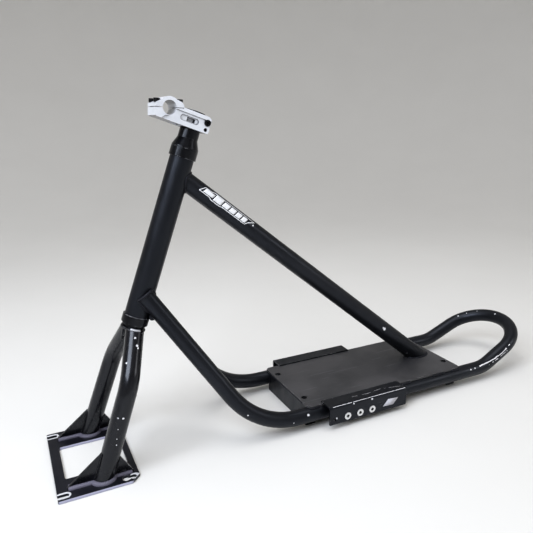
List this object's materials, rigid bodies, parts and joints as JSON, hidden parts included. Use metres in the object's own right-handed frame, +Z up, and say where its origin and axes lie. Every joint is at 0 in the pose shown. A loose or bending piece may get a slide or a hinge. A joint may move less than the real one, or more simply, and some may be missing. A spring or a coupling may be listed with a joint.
{
  "type": "snow scooter frame set",
  "caption": "Welded tubular frame of a steerable snow scooter with foot deck, rear hoop, threadless headset, handlebar stem and a fork with a slotted board plate.",
  "frame": {"origin": "centre of the four deck bolts on the plane of the cross tubes' undersides, where the rear board bolts on; the fork plate's underside lies in the same plane", "axes": "+X forward towards the fork, +Y to the rider's left, +Z up, square to the foot deck"},
  "size_m": [1.0305, 0.2384, 0.5951],
  "materials": {
    "frame_paint": "satin",
    "fork_paint": "gloss",
    "headset_black": "gloss",
    "stem_white": "satin",
    "bolt_black": "satin",
    "race_steel": "polished",
    "insert_steel": "satin"
  },
  "bodies": {
    "frame": {"head_tube": "frame_paint", "top_tube": "frame_paint", "left_side_rail": "frame_paint", "right_side_rail": "frame_paint", "rear_hoop": "frame_paint", "deck_plate": "frame_paint", "front_cross_tube": "frame_paint", "rear_cross_tube": "frame_paint", "left_strap_plate": "frame_paint", "right_strap_plate": "frame_paint", "left_strap_inserts": "insert_steel", "right_strap_inserts": "insert_steel", "upper_cup": "headset_black", "lower_cup": "headset_black"},
    "steering": {"steerer_tube": "fork_paint", "left_fork_leg": "fork_paint", "right_fork_leg": "fork_paint", "board_plate": "fork_paint", "left_front_gusset": "fork_paint", "left_rear_gusset": "fork_paint", "right_front_gusset": "fork_paint", "right_rear_gusset": "fork_paint", "crown_race": "headset_black", "bearing_cover": "headset_black", "compression_ring": "race_steel", "headset_spacer": "headset_black", "stem_body": "stem_white", "stem_clamp_cap": "stem_white", "stem_clamp_bolts": "bolt_black", "stem_pinch_bolts": "bolt_black", "stem_top_cap": "headset_black", "top_cap_bolt": "bolt_black", "star_nut": "race_steel"},
    "lower_bearing": {"lower_balls": "race_steel", "lower_ball_cage": "race_steel"},
    "upper_bearing": {"upper_balls": "race_steel", "upper_ball_cage": "race_steel"}
  },
  "joints": [
    {"name": "steering_turn", "type": "hinge", "parent": "frame", "child": "steering", "pos_m": [0.539, 0, 0.044], "axis": [-0.3469, 0, 0.9379], "continuous": true},
    {"name": "lower_bearing_turn", "type": "hinge", "parent": "frame", "child": "lower_bearing", "pos_m": [0.539, 0, 0.044], "axis": [-0.3469, 0, 0.9379], "continuous": true},
    {"name": "upper_bearing_turn", "type": "hinge", "parent": "frame", "child": "upper_bearing", "pos_m": [0.539, 0, 0.044], "axis": [-0.3469, 0, 0.9379], "continuous": true}
  ],
  "couplings": [
    {"joint": "lower_bearing_turn", "follows": "steering_turn", "ratio": 0.5},
    {"joint": "upper_bearing_turn", "follows": "steering_turn", "ratio": 0.5}
  ]
}
